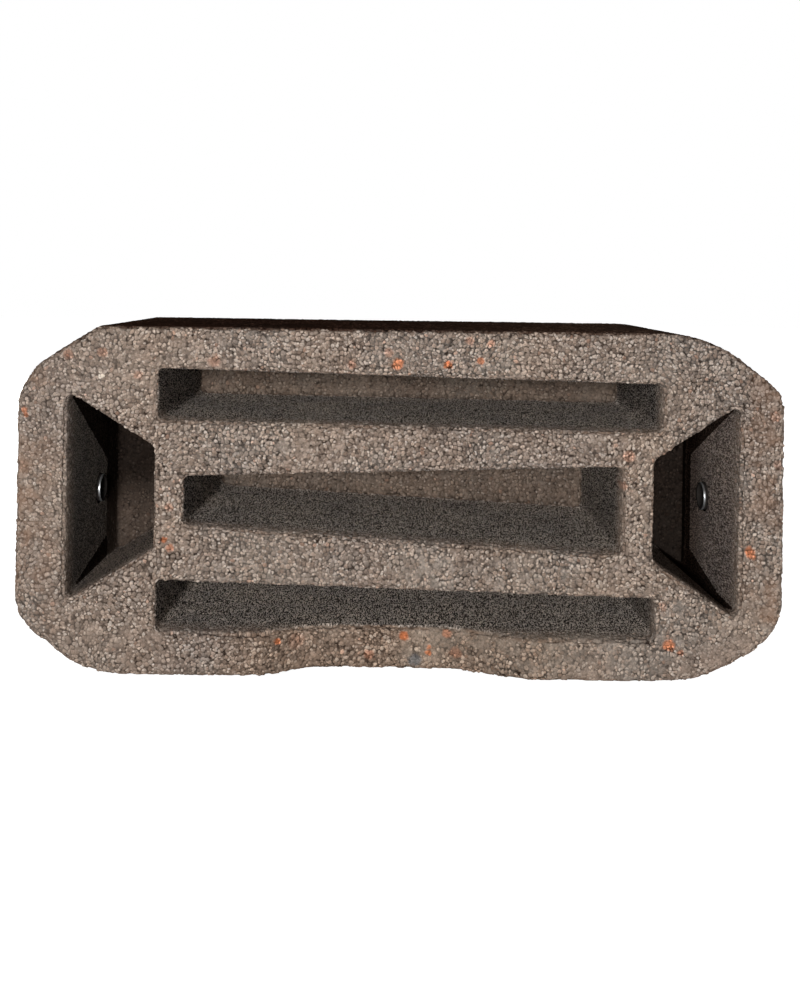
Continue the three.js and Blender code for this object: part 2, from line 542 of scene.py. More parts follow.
@dataclass(frozen=True)
class SpongeSkin:
    """The fine open grit that the cores leave on the pocket walls."""

    grit: Noise = Noise(0.72 * MM, 1.0, 0.6)
    slow: Noise = Noise(3 * grit.size, 2.0, 0.6)
    pore_level: float = 0.473
    grain_level: float = 0.545
    drawn_out: tuple = (1.0, 0.30, 1.0)

    def group(self, kind: TreeKind) -> bpy.types.NodeTree:
        """Builds the grit's node group.

        Args:
            kind: The kind of tree it is for.

        Returns:
            The group: Height from 0 in a pore to 1 on a grain, and a slow random Tint.
        """
        number = "NodeSocketFloat"
        graph, given, result = new_group(
            "Sponge skin", kind, {"Place": "NodeSocketVector"}, {"Height": number, "Tint": number})
        drawn = graph.vector("MULTIPLY", given.outputs["Place"], self.drawn_out)
        grit = self.grit.at(graph, drawn)
        graph.feed(result.inputs["Height"], graph.ease(grit, self.pore_level, self.grain_level))
        graph.feed(result.inputs["Tint"], self.slow.at(graph, drawn))
        return graph.tree


@dataclass(frozen=True)
class Spot:
    """A handful of beads of another colour on the open face.

    Its place and its radius are in millimetres. Its strength is how far the other colour goes in its middle.
    """

    x: float
    z: float
    radius: float
    strength: float


@dataclass(frozen=True)
class BeadConcrete:
    """The finish of the casting: coloured clay beads in grey cement.

    Shades, casts, tints and gains are colour factors. Those of the upper side, the pocket ends and the pocket
    walls, of the corners round the chambers' outer walls, of the lit walls and of the pocket mouths are
    painted shade and painted light. Levels are the two values of a measure between which something eases in
    or out. Depths are measured from the open face.
    """

    beads: BeadField
    smear: CementSmear
    skin: SpongeSkin

    bead_colours: tuple = (
        (0.00, (0.156, 0.119, 0.096)),
        (0.34, (0.206, 0.160, 0.130)),
        (0.56, (0.284, 0.225, 0.183)),
        (0.78, (0.384, 0.312, 0.259)),
        (1.00, (0.556, 0.471, 0.402)),
    )
    bead_casts: tuple = ((0.0, (0.96, 0.995, 1.03)), (0.35, (1.0,) * 3), (1.0, (1.05, 0.98, 0.935)))
    bead_mottle: Mottle = Mottle(0.95 * MM, 2.0, 0.65, ((0.28, (0.60,) * 3), (0.72, (1.40,) * 3)))
    bead_levels: tuple = (0.30, 0.78)
    # Painted highlight and shade on each bead, lighter on its upper left.
    bead_light_levels: tuple = (-0.9, 0.9)
    bead_light_shades: tuple = ((0.0, (0.80,) * 3), (1.0, (1.18,) * 3))
    stray_from: float = 0.985
    stray_share: float = 0.13

    # Dark cement in the open gaps, and painted shadow in the creases where beads touch.
    gap_and_shadow_colour: tuple = (0.034, 0.024, 0.019)
    gap_levels: tuple = (0.05, 0.50)
    open_gaps: Patches = Patches(9 * MM, 2.0, 0.6, (0.44, 0.62), (0.58, 1.0))
    # How far painted shadow darkens the creases where two beads meet.
    crease_shadow_share: float = 0.55

    cement_colour: tuple = (0.140, 0.106, 0.085)
    cool_cement_colour: tuple = (0.124, 0.107, 0.093)
    cool_patches: Patches = Patches(60 * MM, 2.0, 0.5, (0.42, 0.62))
    cement_mottle: Mottle = Mottle(1.3 * MM, 3.0, 0.65, ((0.3, (0.55,) * 3), (0.7, (1.48,) * 3)))
    smear_mottle: Mottle = Mottle(11 * MM, 2.0, 0.5, ((0.36, (1.30,) * 3), (0.66, (2.20,) * 3)))
    smear_share: float = 0.70
    veil_colour: tuple = (0.262, 0.219, 0.186)
    veil_patches: Patches = Patches(48 * MM, 4.0, 0.62, (0.50, 0.64), (0.0, 0.19))
    veil_left_levels: tuple = (-230 * MM, -120 * MM)
    veil_left_gain: float = 0.10
    tone_mottle: Mottle = Mottle(90 * MM, 2.0, 0.5, ((0.3, (0.90, 0.91, 0.93)), (0.7, (1.08, 1.06, 1.03))))

    rust_colour: tuple = (0.250, 0.128, 0.070)
    rust_patches: Patches = Patches(24 * MM, 4.0, 0.62, (0.44, 0.66))
    rust_reach: tuple = (205 * MM, 243 * MM)
    worn_levels: tuple = (0.2, 1.0)
    worn_share: float = 0.5
    mould_levels: tuple = (0.1, 0.6)
    rust_shares: tuple = (0.40, 0.14)
    rim_levels: tuple = (22 * MM, 52 * MM)
    rim_reach: tuple = (85 * MM, 130 * MM)
    rim_cast: tuple = (0.94, 0.88, 0.82)

    zone_from: float = 0.02
    zone_full: float = 0.40
    side_shade: tuple = (0.80, 0.78, 0.76)
    # Painted shade on the upper side of the block, a little lighter towards the right end.
    upper_shade: tuple = (0.26, 0.175, 0.15)
    upper_right_shade: tuple = (0.40, 0.31, 0.275)
    upper_right_levels: tuple = (-20 * MM, 120 * MM)
    upper_patches: Patches = Patches(35 * MM, 4.0, 0.6, (0.38, 0.62), (0.55, 1.0))
    end_evenness: float = 0.15
    # Painted shade on the pocket ends: darker in the slots, almost black in the chambers, and painted light
    # on the lower part of the left chamber's back.
    slot_end_shade: tuple = (0.62, 0.59, 0.56)
    chamber_end_shade: tuple = (0.075, 0.068, 0.066)
    lit_end_shade: tuple = (0.34, 0.32, 0.31)
    lit_levels: tuple = (68 * MM, 112 * MM)

    pocket_ragged: Noise = Noise(3.5 * MM, 2.0, 0.6)
    pocket_raggedness: float = 0.9
    pocket_levels: tuple = (0.55, 0.95)
    grain_colour: tuple = (0.330, 0.300, 0.272)
    grain_tints: tuple = ((0.3, (0.80, 0.78, 0.76)), (0.7, (1.22, 1.18, 1.14)))
    # Dark pores between the grains of the grit, partly real and partly painted shadow.
    pore_and_shadow_colour: tuple = (0.030, 0.026, 0.023)
    # Painted light on the upward pocket walls and on the right chamber's outer wall.
    painted_light_gain: float = 1.95
    wall_mottle: Mottle = Mottle(40 * MM, 3.0, 0.6, ((0.3, (0.84, 0.84, 0.86)), (0.7, (1.14, 1.1, 1.06))))
    outer_from: float = 195 * MM
    outer_cast: tuple = (0.89, 0.82, 0.81)
    right_evenness: float = 0.22
    left_evenness: float = 0.45
    even_height: float = 0.60
    # Painted shade on the chambers' sides, darker on the right, on the right chamber's floor, and deeper in
    # on the right chamber's outer wall.
    left_side_shade: tuple = (0.55, 0.52, 0.50)
    right_side_shade: tuple = (0.30, 0.28, 0.27)
    floor_shade: tuple = (0.66, 0.63, 0.60)
    deep_shade: tuple = (0.50, 0.47, 0.45)
    deep_levels: tuple = (70 * MM, 108 * MM)
    sill_levels: tuple = (0.1, 0.5)
    # Painted light near the pockets' mouths: the walls take on the casting's colour, brightened, fading
    # inwards.
    mouth_share: float = 0.92
    mouth_depth: float = 24 * MM
    mouth_painted_light_gain: float = 2.0
    mouth_painted_light_levels: tuple = (1 * MM, 6 * MM)
    # Painted shadow in the corners round the chambers' outer walls.
    corner_shadow_factor: tuple = (0.12, 0.10, 0.09)
    corner_shadow_levels: tuple = (0.25, 0.6)

    fired_tint: tuple = (1.90, 0.86, 0.50)
    fired_spots: tuple = (
        Spot(-2.5, 200.5, 4.2, 0.9), Spot(-8.5, 208, 3.4, 0.25), Spot(29.5, 200.5, 3.0, 1.0),
        Spot(50.2, 203.6, 2.6, 0.8), Spot(42.7, 216, 3.0, 0.25), Spot(57, 214.8, 3.0, 0.35),
        Spot(-32, 200.2, 3.4, 0.3), Spot(-239.5, 168.4, 2.6, 0.7), Spot(-238.6, 165.2, 2.2, 0.7),
        Spot(-212, 204, 3.6, 0.24), Spot(-190.4, 205.6, 3.6, 0.26), Spot(-119, 201, 4.2, 0.22),
        Spot(-167.5, 191.3, 3.2, 0.2), Spot(-149.7, 86.9, 2.4, 0.9), Spot(-145.9, 82, 2.8, 0.5),
        Spot(-147, 107.5, 2.8, 0.22), Spot(-77, 21.3, 2.6, 1.0), Spot(-65.6, 20, 6.0, 0.13),
        Spot(3.8, 21.6, 3.6, 1.0), Spot(20.1, 11.2, 2.4, 0.9), Spot(20.1, 15.1, 1.9, 0.7),
        Spot(31.8, 24.5, 3.4, 0.5), Spot(-18.9, 9.4, 3.8, 0.35), Spot(37.4, 12.0, 4.2, 0.3),
        Spot(172.4, 24.1, 4.4, 0.9), Spot(179.6, 19.4, 2.4, 0.5), Spot(222.6, 84.3, 3.8, 0.9),
        Spot(224.4, 81.4, 2.6, 0.8), Spot(145.2, 144, 4.4, 0.28), Spot(142, 125, 3.0, 0.22),
        Spot(167.5, 48.9, 3.4, 0.15), Spot(237.6, 170.2, 4.0, 0.17), Spot(241, 139.7, 4.0, 0.17),
    )
    blue_tint: tuple = (0.50, 0.62, 0.78)
    blue_spots: tuple = (Spot(11.2, 6.3, 5.0, 0.9),)
    pale_tint: tuple = (2.20, 2.30, 2.30)
    pale_spots: tuple = (Spot(-191, 191, 2.6, 1.0),)
    spot_ragged: Noise = Noise(3.5 * MM, 1.0)
    spot_raggedness: float = 3.2
    spot_flatness: float = 0.04
    spot_border: tuple = (0.55, 1.15)

    crest_roughness: float = 0.74
    gap_roughness: float = 0.97
    roughness_levels: tuple = (0.2, 0.8)
    filled_height: float = 0.75
    grit_height: float = 0.5
    grain: Noise = Noise(0.6 * MM, 3.0, 0.7)
    grain_height: float = 0.16
    relief_bump: float = 0.6 * MM

    def material(self) -> bpy.types.Material:
        """Builds the material.

        Returns:
            The bead concrete material.
        """
        material = bpy.data.materials.new("cast_bead_concrete")
        material.use_nodes = True
        shader = material.node_tree.nodes["Principled BSDF"]
        graph = Graph(material.node_tree)
        place = graph.stored(REST, "Vector")
        zones = {zone: graph.stored(zone.value) for zone in Zone}
        ends = graph.math("MAXIMUM", zones[Zone.SLOT_END], zones[Zone.CHAMBER_END])
        beads, smear, skin = self.fields(graph, TreeKind.SHADER, place, zones[Zone.MOULD_SIDE], ends)
        in_pocket = self.pocket_share(graph, place, zones[Zone.POCKET_WALL])
        cast = self.cast_colour(graph, place, beads, smear, zones[Zone.MOULD_SIDE])
        cast = self.shaded_cast(graph, place, cast, zones, ends)
        colour = graph.blend(in_pocket, cast, self.wall_colour(graph, place, skin, zones, cast))
        # Painted shadow in the corners round the chambers' outer walls.
        foot = graph.ease(graph.stored(CORNER_SHADOW), *self.corner_shadow_levels)
        graph.feed(shader.inputs["Base Color"], graph.tint(colour, self.corner_shadow_factor, foot))

        height = graph.mix(in_pocket, graph.mix(smear, beads["Height"], self.filled_height),
                           graph.times(skin["Height"], self.grit_height))
        grain = graph.times(self.grain.at(graph, place), self.grain_height)
        bump = graph.node("ShaderNodeBump", Strength=1.0, Distance=self.relief_bump,
                          Height=graph.plus(height, grain))
        graph.feed(shader.inputs["Normal"], bump.outputs["Normal"])
        graph.feed(shader.inputs["Roughness"],
                   graph.ease(height, *self.roughness_levels, self.gap_roughness, self.crest_roughness))
        shader.inputs["Specular IOR Level"].default_value = 0.0
        return material

    def fields(self, graph: Graph, kind: TreeKind, place: Socket, mould_side: Socket, ends: Socket) -> tuple:
        """Places the fields that the relief and the colours share.

        Args:
            graph: The material's or the relief's graph.
            kind: The kind of its tree.
            place: The coordinates.
            mould_side: Where the casting lay against the mould.
            ends: Where the pocket ends are.

        Returns:
            The outputs of the bead field, the smear's share and the outputs of the grit.
        """
        beads = use_group(graph, self.beads.group(kind), kind, Place=place)
        smear = use_group(graph, self.smear.group(kind), kind, Place=place, Side=mould_side, End=ends)
        skin = use_group(graph, self.skin.group(kind), kind, Place=place)
        return beads.outputs, smear.outputs["Smear"], skin.outputs

    def pocket_share(self, graph: Graph, place: Socket, wall: Socket) -> Socket:
        """Finds how far the pocket walls' grit has taken over from the beads, with a ragged border."""
        ragged = graph.minus(self.pocket_ragged.at(graph, place), 0.5)
        return graph.ease(graph.plus(wall, graph.times(ragged, self.pocket_raggedness)), *self.pocket_levels)

    def cast_colour(self, graph: Graph, place: Socket, beads: Sequence, smear: Socket,
                    mould_side: Socket) -> Socket:
        """Colours the beads with painted light and shade on each, the gaps between them with painted shadow
        in the creases, the smeared patches, the spots and the rust.

        Args:
            graph: The material's graph.
            place: The coordinates.
            beads: The outputs of the bead field.
            smear: How far cement has filled the gaps.
            mould_side: Where the casting lay against the mould.

        Returns:
            The colour.
        """
        cement = graph.blend(self.cool_patches.share(graph, place), self.cement_colour,
                             self.cool_cement_colour)
        cement = self.cement_mottle.over(graph, place, cement)
        colour = graph.ramp(beads["Tint"], self.bead_colours)
        colour = graph.tint(colour, graph.ramp(beads["Odd"], self.bead_casts))
        colour = self.bead_mottle.over(graph, place, colour)
        # Painted light and shade on each bead.
        bead_light = graph.ease(beads["PaintedLight"], *self.bead_light_levels)
        colour = graph.tint(colour, graph.ramp(bead_light, self.bead_light_shades))
        stray = graph.times(graph.math("GREATER_THAN", beads["Odd"], self.stray_from), self.stray_share)
        colour = graph.tint(colour, self.fired_tint, stray)
        colour = graph.blend(graph.ease(beads["Height"], *self.bead_levels), cement, colour)
        # Real dark gaps, and painted shadow in the creases where beads touch.
        low = graph.times(graph.ease(beads["Height"], *self.gap_levels, 1.0, 0.0),
                          self.open_gaps.share(graph, place))
        touching = graph.times(graph.minus(1.0, beads["Crease"]), self.crease_shadow_share)
        colour = graph.blend(graph.math("MAXIMUM", low, touching), colour, self.gap_and_shadow_colour)
        colour = graph.blend(graph.times(smear, self.smear_share), colour,
                             self.smear_mottle.over(graph, place, cement))
        left = graph.ease(graph.part(place, "X"), *self.veil_left_levels, self.veil_left_gain, 0.0)
        colour = graph.blend(self.veil_patches.share(graph, place, left), colour, self.veil_colour)
        for spots, tint in ((self.fired_spots, self.fired_tint), (self.blue_spots, self.blue_tint),
                            (self.pale_spots, self.pale_tint)):
            colour = graph.tint(colour, tint, self.spot_share(graph, place, spots))

        along = graph.math("ABSOLUTE", graph.part(place, "X"))
        worn = graph.ease(graph.stored(WORN), *self.worn_levels, 0.0, self.worn_share)
        edge = graph.math("MAXIMUM", graph.ease(along, *self.rust_reach), worn)
        edge = graph.times(edge, graph.ease(mould_side, *self.mould_levels, *self.rust_shares))
        rusty = graph.times(self.rust_patches.share(graph, place), edge)
        colour = graph.blend(rusty, colour, self.rust_colour)
        rim = graph.times(graph.ease(graph.part(place, "Z"), *self.rim_levels, 1.0, 0.0),
                          graph.ease(along, *self.rim_reach, 1.0, 0.0))
        return self.tone_mottle.over(graph, place, graph.tint(colour, self.rim_cast, rim))

    def shaded_cast(self, graph: Graph, place: Socket, colour: Socket, zones: dict, ends: Socket) -> Socket:
        """Darkens the outer sides, and paints shade on the upper side and the pocket ends, with painted light
        on the lower part of the left chamber's back.

        Args:
            graph: The material's graph.
            place: The coordinates.
            colour: The colour of the casting.
            zones: The blurred zones.
            ends: Where the pocket ends are.

        Returns:
            The colour.
        """
        # Painted light on the lower part of the left chamber's back, with painted shade above it.
        lit = graph.times(graph.math("LESS_THAN", graph.part(place, "X"), 0.0),
                          graph.ease(graph.part(place, "Z"), *self.lit_levels, 1.0, 0.0))
        chamber_end = graph.blend(lit, self.chamber_end_shade, self.lit_end_shade)
        # Painted shade on the upper side, lighter towards the right.
        upper = graph.blend(graph.ease(graph.part(place, "X"), *self.upper_right_levels), self.upper_shade,
                            self.upper_right_shade)
        even = graph.ease(ends, self.zone_from, self.zone_full, 0.0, self.end_evenness)
        colour = graph.blend(even, colour, self.veil_colour)
        for zone, shade, full in ((Zone.MOULD_SIDE, self.side_shade, self.zone_full),
                                  (Zone.UPPER_SIDE, upper, 1.0),
                                  (Zone.SLOT_END, self.slot_end_shade, self.zone_full),
                                  (Zone.CHAMBER_END, chamber_end, self.zone_full)):
            share = graph.ease(zones[zone], self.zone_from, full)
            if zone is Zone.UPPER_SIDE:
                share = graph.math("POWER", share, self.upper_patches.share(graph, place))
            colour = graph.tint(colour, shade, share)
        return colour

    def wall_colour(self, graph: Graph, place: Socket, skin: Sequence, zones: dict, cast: Socket) -> Socket:
        """Colours the pocket walls, with painted light on the upward walls and the right chamber's outer wall
        and painted shade on the chambers' sides and deeper in. Near a pocket's mouth they take on the colour
        of the casting, brightened as painted light.

        Args:
            graph: The material's graph.
            place: The coordinates.
            skin: The outputs of the grit.
            zones: The blurred zones.
            cast: The colour of the casting.

        Returns:
            The colour.
        """
        x = graph.part(place, "X")
        depth = graph.minus(graph.part(place, "Y"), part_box("cast_block")[0].y)
        left = graph.math("LESS_THAN", x, 0.0)
        right = graph.minus(1.0, left)
        aside = graph.math("GREATER_THAN", graph.math("ABSOLUTE", x), self.outer_from)
        outer = graph.times(zones[Zone.PALE_WALL], right, graph.math("GREATER_THAN", x, self.outer_from))
        floor = graph.times(zones[Zone.CHAMBER_SIDE], zones[Zone.PALE_WALL], right)

        evenness = graph.times(aside, graph.mix(left, self.right_evenness, self.left_evenness))
        height = graph.mix(evenness, skin["Height"], self.even_height)
        grain = graph.tint(self.grain_colour, graph.ramp(skin["Tint"], self.grain_tints))
        # Pores, partly real and partly painted shadow between the grains.
        colour = graph.blend(height, self.pore_and_shadow_colour, grain)
        # Painted light on the upward pocket walls and on the right chamber's outer wall.
        colour = graph.tint(colour, (self.painted_light_gain,) * 3, zones[Zone.PALE_WALL])
        colour = self.wall_mottle.over(graph, place, colour)
        # Painted shade on the chambers' sides and the right chamber's floor, and deeper in on its outer wall.
        side_shade = graph.blend(left, self.right_side_shade, self.left_side_shade)
        deep = graph.times(outer, graph.ease(depth, *self.deep_levels))
        for shade, share in ((self.outer_cast, outer), (side_shade, zones[Zone.CHAMBER_SIDE]),
                             (self.floor_shade, floor), (self.deep_shade, deep)):
            colour = graph.tint(colour, shade, share)

        # Painted light near the mouth: the casting's colour, brightened, fading inwards.
        near_mouth = graph.times(graph.ease(graph.stored(SILL), *self.sill_levels),
                                 graph.ease(depth, 0.0, self.mouth_depth, self.mouth_share, 0.0))
        bright = graph.tint(cast, (self.mouth_painted_light_gain,) * 3, graph.ease(depth, *self.mouth_painted_light_levels))
        return graph.blend(near_mouth, colour, bright)

    def spot_share(self, graph: Graph, place: Socket, spots: tuple) -> Socket:
        """Marks some spots on the open face, with ragged soft borders.

        Args:
            graph: The material's graph.
            place: The coordinates.
            spots: The spots.

        Returns:
            Each spot's strength in its middle, and 0 away from the spots.
        """
        open_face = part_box("cast_block")[0].y / MM
        flat = graph.vector("MULTIPLY", place, (1 / MM, self.spot_flatness / MM, 1 / MM))
        reach = (self.spot_raggedness, 0.0, self.spot_raggedness)
        flat = self.spot_ragged.shifted(graph, place, flat, reach)
        inner, outer = self.spot_border
        inside = 0.0
        for spot in spots:
            distance = graph.vector("DISTANCE", flat, (spot.x, self.spot_flatness * open_face, spot.z))
            share = graph.ease(distance, inner * spot.radius, outer * spot.radius, spot.strength, 0.0)
            inside = graph.math("MAXIMUM", inside, share)
        return inside


@dataclass(frozen=True)
class ZincCoat:
    """The finish of the sleeves: dull zinc on steel, dark with cement inside, on the end and round its foot.

    The collar is how far the painted shade round the foot reaches from the end in the chamber. The rim
    levels are where the painted shade of the end face gives way to that of the bore.
    """

    colour: tuple = (0.56, 0.57, 0.58)
    dull_colour: tuple = (0.33, 0.335, 0.34)
    dull_patches: Patches = Patches(6 * MM, 3.0, 0.6, (0.45, 0.7))
    flake_size: float = 3.2 * MM
    flake_share: float = 0.4
    # Painted shade inside the bore, on the end face and round the foot.
    bore_shade_colour: tuple = (0.020, 0.017, 0.015)
    bore_border: float = 0.5 * MM
    rim_levels: tuple = (0.5 * MM, 0.9 * MM)
    collar_levels: tuple = (0.9 * MM, 1.3 * MM)
    collar: float = 5 * MM
    roughness_patches: Patches = Patches(6 * MM, 3.0, 0.6, (0.3, 0.7), (0.28, 0.55))
    shaded_roughness: float = 0.9
    shaded_specular: float = 0.1
    scratches: Noise = Noise(0.5 * MM, 2.0, 0.6)
    scratch_drawn_out: tuple = (0.2, 1.0, 1.0)
    scratch_strength: float = 0.35
    scratch_depth: float = 0.05 * MM

    def material(self, axis: tuple, bore: float, end: float, rim: float) -> bpy.types.Material:
        """Builds the material.

        Args:
            axis: A point on the tube's axis, which runs along X.
            bore: The radius inside which the tube is dull and painted dark as shade.
            end: Where along X the tube ends in the chamber. Its end face and its foot are painted dark as
                shade.
            rim: The radius inside which that end face is dark.

        Returns:
            The zinc material.
        """
        material = bpy.data.materials.new("galvanised_tube")
        material.use_nodes = True
        shader = material.node_tree.nodes["Principled BSDF"]
        graph = Graph(material.node_tree)
        place = graph.node("ShaderNodeTexCoord").outputs["Object"]
        flakes = graph.part(graph.cells(place, self.flake_size).outputs["Color"], "X")
        colour = graph.blend(graph.times(flakes, self.flake_share), self.colour, self.dull_colour)
        colour = graph.blend(self.dull_patches.share(graph, place), colour, self.dull_colour)
        # Painted shade inside the bore, on the end face and round the foot.
        across = graph.vector("MULTIPLY", graph.vector("SUBTRACT", place, axis), (0.0, 1.0, 1.0))
        from_end = graph.math("ABSOLUTE", graph.minus(graph.part(place, "X"), end))
        border = graph.ease(from_end, *self.rim_levels, rim, bore)
        past = graph.minus(graph.vector("LENGTH", across), border)
        inside = graph.ease(past, 0.0, self.bore_border, 1.0, 0.0)
        collar = graph.times(graph.ease(from_end, *self.collar_levels),
                             graph.math("LESS_THAN", from_end, self.collar))
        inside = graph.math("MAXIMUM", inside, collar)
        graph.feed(shader.inputs["Base Color"], graph.blend(inside, colour, self.bore_shade_colour))
        graph.feed(shader.inputs["Roughness"],
                   graph.mix(inside, self.roughness_patches.share(graph, place), self.shaded_roughness))
        graph.feed(shader.inputs["Metallic"], graph.minus(1.0, inside))
        graph.feed(shader.inputs["Specular IOR Level"], graph.mix(inside, 0.5, self.shaded_specular))
        drawn = graph.vector("MULTIPLY", place, self.scratch_drawn_out)
        bump = graph.node("ShaderNodeBump", Strength=self.scratch_strength, Distance=self.scratch_depth,
                          Height=self.scratches.at(graph, drawn))
        graph.feed(shader.inputs["Normal"], bump.outputs["Normal"])
        return material


def to_mesh(piece: bpy.types.Object) -> None:
    """Applies a piece's modifiers.

    Args:
        piece: The object, whose mesh is replaced by the result.
    """
    graph = bpy.context.evaluated_depsgraph_get()
    graph.update()
    made = bpy.data.meshes.new_from_object(piece.evaluated_get(graph))
    piece.modifiers.clear()
    old, piece.data = piece.data, made
    bpy.data.meshes.remove(old)


def add_piece(name: str, mesh: bpy.types.Mesh) -> bpy.types.Object:
    """Links a new object.

    Args:
        name: The object's name.
        mesh: Its mesh.

    Returns:
        The object.
    """
    piece = bpy.data.objects.new(name, mesh)
    bpy.context.scene.collection.objects.link(piece)
    return piece


@dataclass(frozen=True)
class PaintedCornerShadow:
    """Where painted shadow lies in the corners round a chamber's outer wall.

    The band is a strip of the chamber's back along that wall, and past wall_end the wall is painted dark all
    over. The other parts of the painted shadow grow with the depth: each slope says how fast, and each
    "from" says from what depth.
    """

    roof_slope: float
    roof_from: float
    floor_slope: float
    floor_from: float
    spread: float = 0.0
    spread_from: float = 0.0
    band: float = 0.0
    wall_end: float = math.inf


@dataclass
class CastBlock:
    """The one-piece casting, rebuilt from its solid as a fine skin with real relief.

    The webs are the levels that part the three slots. The end chambers start about chamber_from away from
    the middle, give or take a margin for their ribs. A cosine says how squarely a face has to look along an
    axis to count as facing it. Reaches and rounds say how far a blur goes, and reliefs how deep something
    lies at most. The hidden scale is how much smaller the atlas shows all that the open face doesn't.
    """

    node: str = "cast_block"
    finish: BeadConcrete = field(
        default_factory=lambda: BeadConcrete(BeadField(), CementSmear(), SpongeSkin()))
    join_reach: float = 0.001 * MM
    voxel: float = 0.95 * MM
    quick_voxel: float = 1.6 * MM
    facing_cosine: float = 0.5
    square_cosine: float = 0.9
    upper_fade: float = 0.45
    least_side: float = 0.01 * MM
    pocket_depth: float = 125 * MM
    rim_depth: float = 0.8 * MM
    arch_reach: float = 25 * MM
    webs: tuple = (70 * MM, 148 * MM)
    chamber_from: float = 155 * MM
    rib_margin: float = 14 * MM
    middle_rib_margin: float = 5 * MM
    outer_wall_from: float = 195 * MM
    outer_skin: float = 8 * MM
    zone_blur: float = 4 * MM
    mouth_reach: float = 8 * MM
    wear_reach: float = 6 * MM
    wear_levels: tuple = (0.15 * MM, 1.3 * MM)
    edge_round: float = 1.2 * MM
    mouth_round: float = 1.3 * MM
    sill_round: float = 4.6 * MM
    sill_levels: tuple = (0.15, 0.40)
    border_levels: tuple = (0.30, 0.49)
    left_corner_shadow: PaintedCornerShadow = PaintedCornerShadow(roof_slope=0.65, roof_from=12 * MM, floor_slope=0.20,
                                       floor_from=20 * MM)
    right_corner_shadow: PaintedCornerShadow = PaintedCornerShadow(roof_slope=0.46, roof_from=14 * MM, floor_slope=0.19,
                                        floor_from=42 * MM, spread=0.18, spread_from=10 * MM, band=2 * MM,
                                        wall_end=111 * MM)
    # Past this depth the left chamber's outer wall takes the painted shade of the chamber's back.
    left_wall_ends: float = 97 * MM
    bead_relief: float = 1.0 * MM
    worn_gain: float = 1.9
    skin_relief: float = 0.35 * MM
    smear_level: float = 0.80
    wave_relief: float = 0.35 * MM
    wave: Noise = Noise(45 * MM, 2.0)
    chip_relief: float = 2.5 * MM
    chips: Patches = Patches(10 * MM, 3.0, 0.6, (0.47, 0.59))
    atlas_margin: float = 2.5 * MM
    hidden_scale: float = 0.72

    def build(self) -> bpy.types.Object:
        """Builds and dresses the casting.

        Returns:
            The finished object.
        """
        piece = add_piece("bead_concrete_casting", self.closed_copy())
        self.remesh(piece)
        self.mark_zones(piece.data)
        self.add_relief(piece)
        self.add_atlas(piece.data)
        piece.data.shade_smooth()
        piece.data.materials.clear()
        piece.data.materials.append(self.finish.material())
        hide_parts(self.node)
        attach(piece, ROOT_BODY)
        return piece

    def closed_copy(self) -> bpy.types.Mesh:
        """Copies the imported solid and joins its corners.

        Returns:
            A closed mesh.
        """
        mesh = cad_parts[self.node].data.copy()
        work = bmesh.new()
        work.from_mesh(mesh)
        bmesh.ops.remove_doubles(work, verts=work.verts, dist=self.join_reach)
        work.to_mesh(mesh)
        work.free()
        return mesh

    def remesh(self, piece: bpy.types.Object) -> None:
        """Turns the solid into a skin of even squares.

        Args:
            piece: The block.
        """
        modifier = piece.modifiers.new("skin", "REMESH")
        modifier.mode = "VOXEL"
        modifier.voxel_size = self.voxel
        to_mesh(piece)

    def mark_zones(self, mesh: bpy.types.Mesh) -> None:
        """Stores which points lie on each kind of surface.

        Args:
            mesh: The block's skin.
        """
        places = read_vectors(mesh.vertices, "co")
        normals = read_vectors(mesh.vertex_normals, "vector")
        x, depth = places[:, 0], places[:, 1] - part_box(self.node)[0].y
        inner = self.inside_outline(places) > self.outer_skin
        forward, rise = normals[:, 1] < -self.facing_cosine, normals[:, 2] - self.facing_cosine
        upward = rise > 0
        rim = (depth < self.rim_depth) | (forward & (depth < self.arch_reach))
        back = depth > self.pocket_depth + self.outer_skin
        end = inner & forward & (depth > self.pocket_depth - self.outer_skin) & ~back
        chamber = self.pocket_number(places) < 2
        wall = inner & ~rim & ~back & ~end
        outward = (np.abs(normals[:, 0]) >= self.square_cosine) & (np.abs(x) > self.outer_wall_from)
        outer_wall = wall & chamber & outward
        # The deep part of the left chamber's outer wall takes the painted shade of the chamber's back.
        sunk = outer_wall & (x < 0) & (depth > self.left_wall_ends)
        end, wall, outer_wall = end | sunk, wall & ~sunk, outer_wall & ~sunk
        side = wall & chamber & ~outer_wall
        right_wall = wall & (normals[:, 0] < -self.facing_cosine) & (x > 0)
        chosen = {
            Zone.POCKET_WALL.value: wall,
            # The walls that get painted light: the upward ones and the right chamber's outer wall.
            Zone.PALE_WALL.value: wall & (upward | (outer_wall & (x > 0))),
            Zone.CHAMBER_SIDE.value: side,
            Zone.SLOT_END.value: end & ~chamber,
            Zone.CHAMBER_END.value: end & chamber,
            Zone.MOULD_SIDE.value: (back | ~inner) & ~rim,
            # The upper side, which takes painted shade.
            Zone.UPPER_SIDE.value: (~inner & ~rim) * np.clip(rise / self.upper_fade, 0, 1),
            # The walls that get painted light near the mouth; they are also rounded wider at the mouth.
            SILL: (wall & upward) | outer_wall | right_wall,
            # Painted shadow in the corners round the chambers' outer walls.
            CORNER_SHADOW: self.corner_shadow_share(places, end & chamber, side, outer_wall),
        }
        for name, values in chosen.items():
            mesh.attributes.new(name, "FLOAT", "POINT").data.foreach_set("value", values.astype(np.float32))

